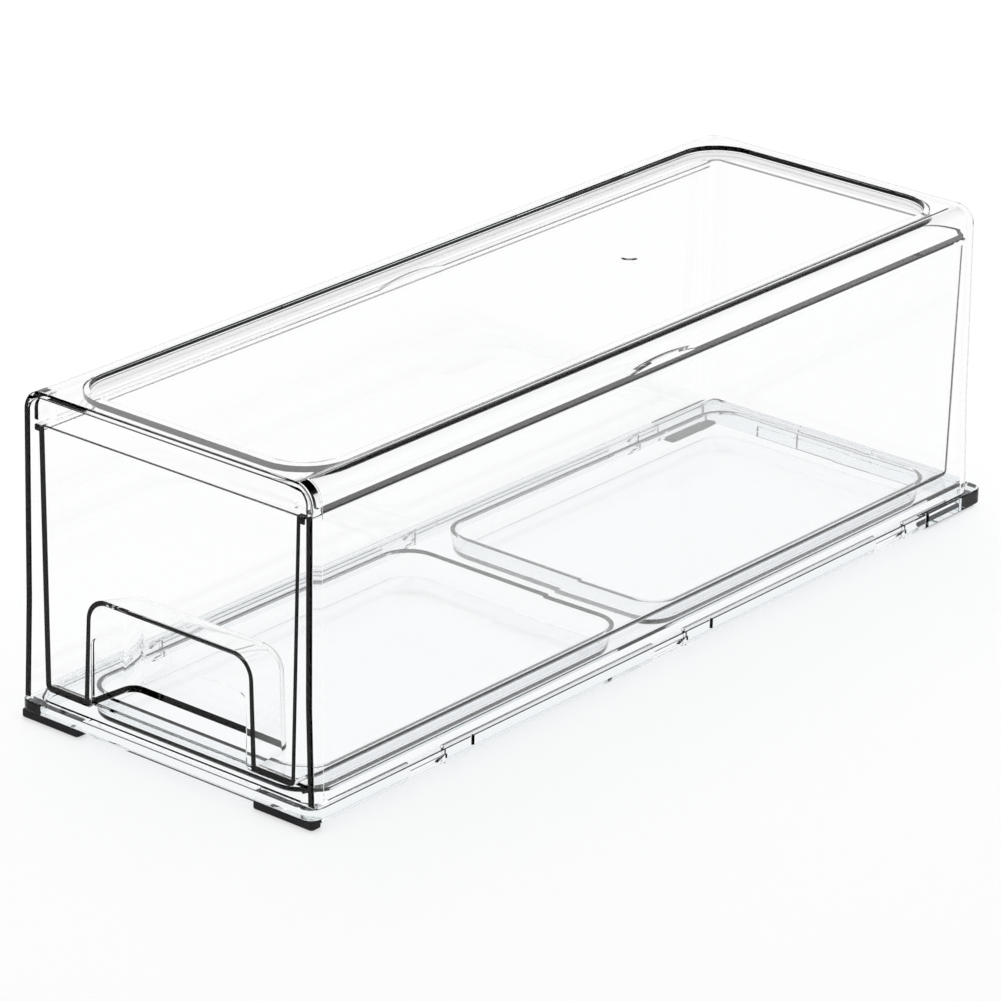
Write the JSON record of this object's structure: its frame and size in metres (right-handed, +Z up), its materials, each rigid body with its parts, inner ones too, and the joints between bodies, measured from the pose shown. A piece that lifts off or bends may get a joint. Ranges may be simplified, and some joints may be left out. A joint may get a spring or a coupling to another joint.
{
  "type": "stackable storage drawer",
  "caption": "Narrow clear plastic storage drawer: an open-fronted case clipped to a base tray, with a sliding bin that has a finger pocket, on rubber corner pads.",
  "frame": {"origin": "on the floor under the middle of the base tray", "axes": "+X to the right seen from the open front, +Y from the open front to the rear, +Z up"},
  "size_m": [0.116, 0.327, 0.1045],
  "materials": {
    "clear_case": "clear colourless polished moulding",
    "clear_base": "clear polished moulding with a faint cool grey cast",
    "clear_drawer": "clear colourless polished moulding",
    "pad_rubber": "matt black non-slip rubber"
  },
  "bodies": {
    "case": {"case_shell": "clear_case", "base_tray": "clear_base", "pad_front_right": "pad_rubber", "pad_front_left": "pad_rubber", "pad_rear_right": "pad_rubber", "pad_rear_left": "pad_rubber"},
    "drawer": {"sliding_drawer": "clear_drawer"}
  },
  "joints": [
    {"name": "drawer_slide", "type": "slide", "parent": "case", "child": "drawer", "axis": [0, -1, 0], "range_m": [0, 0.145]}
  ]
}
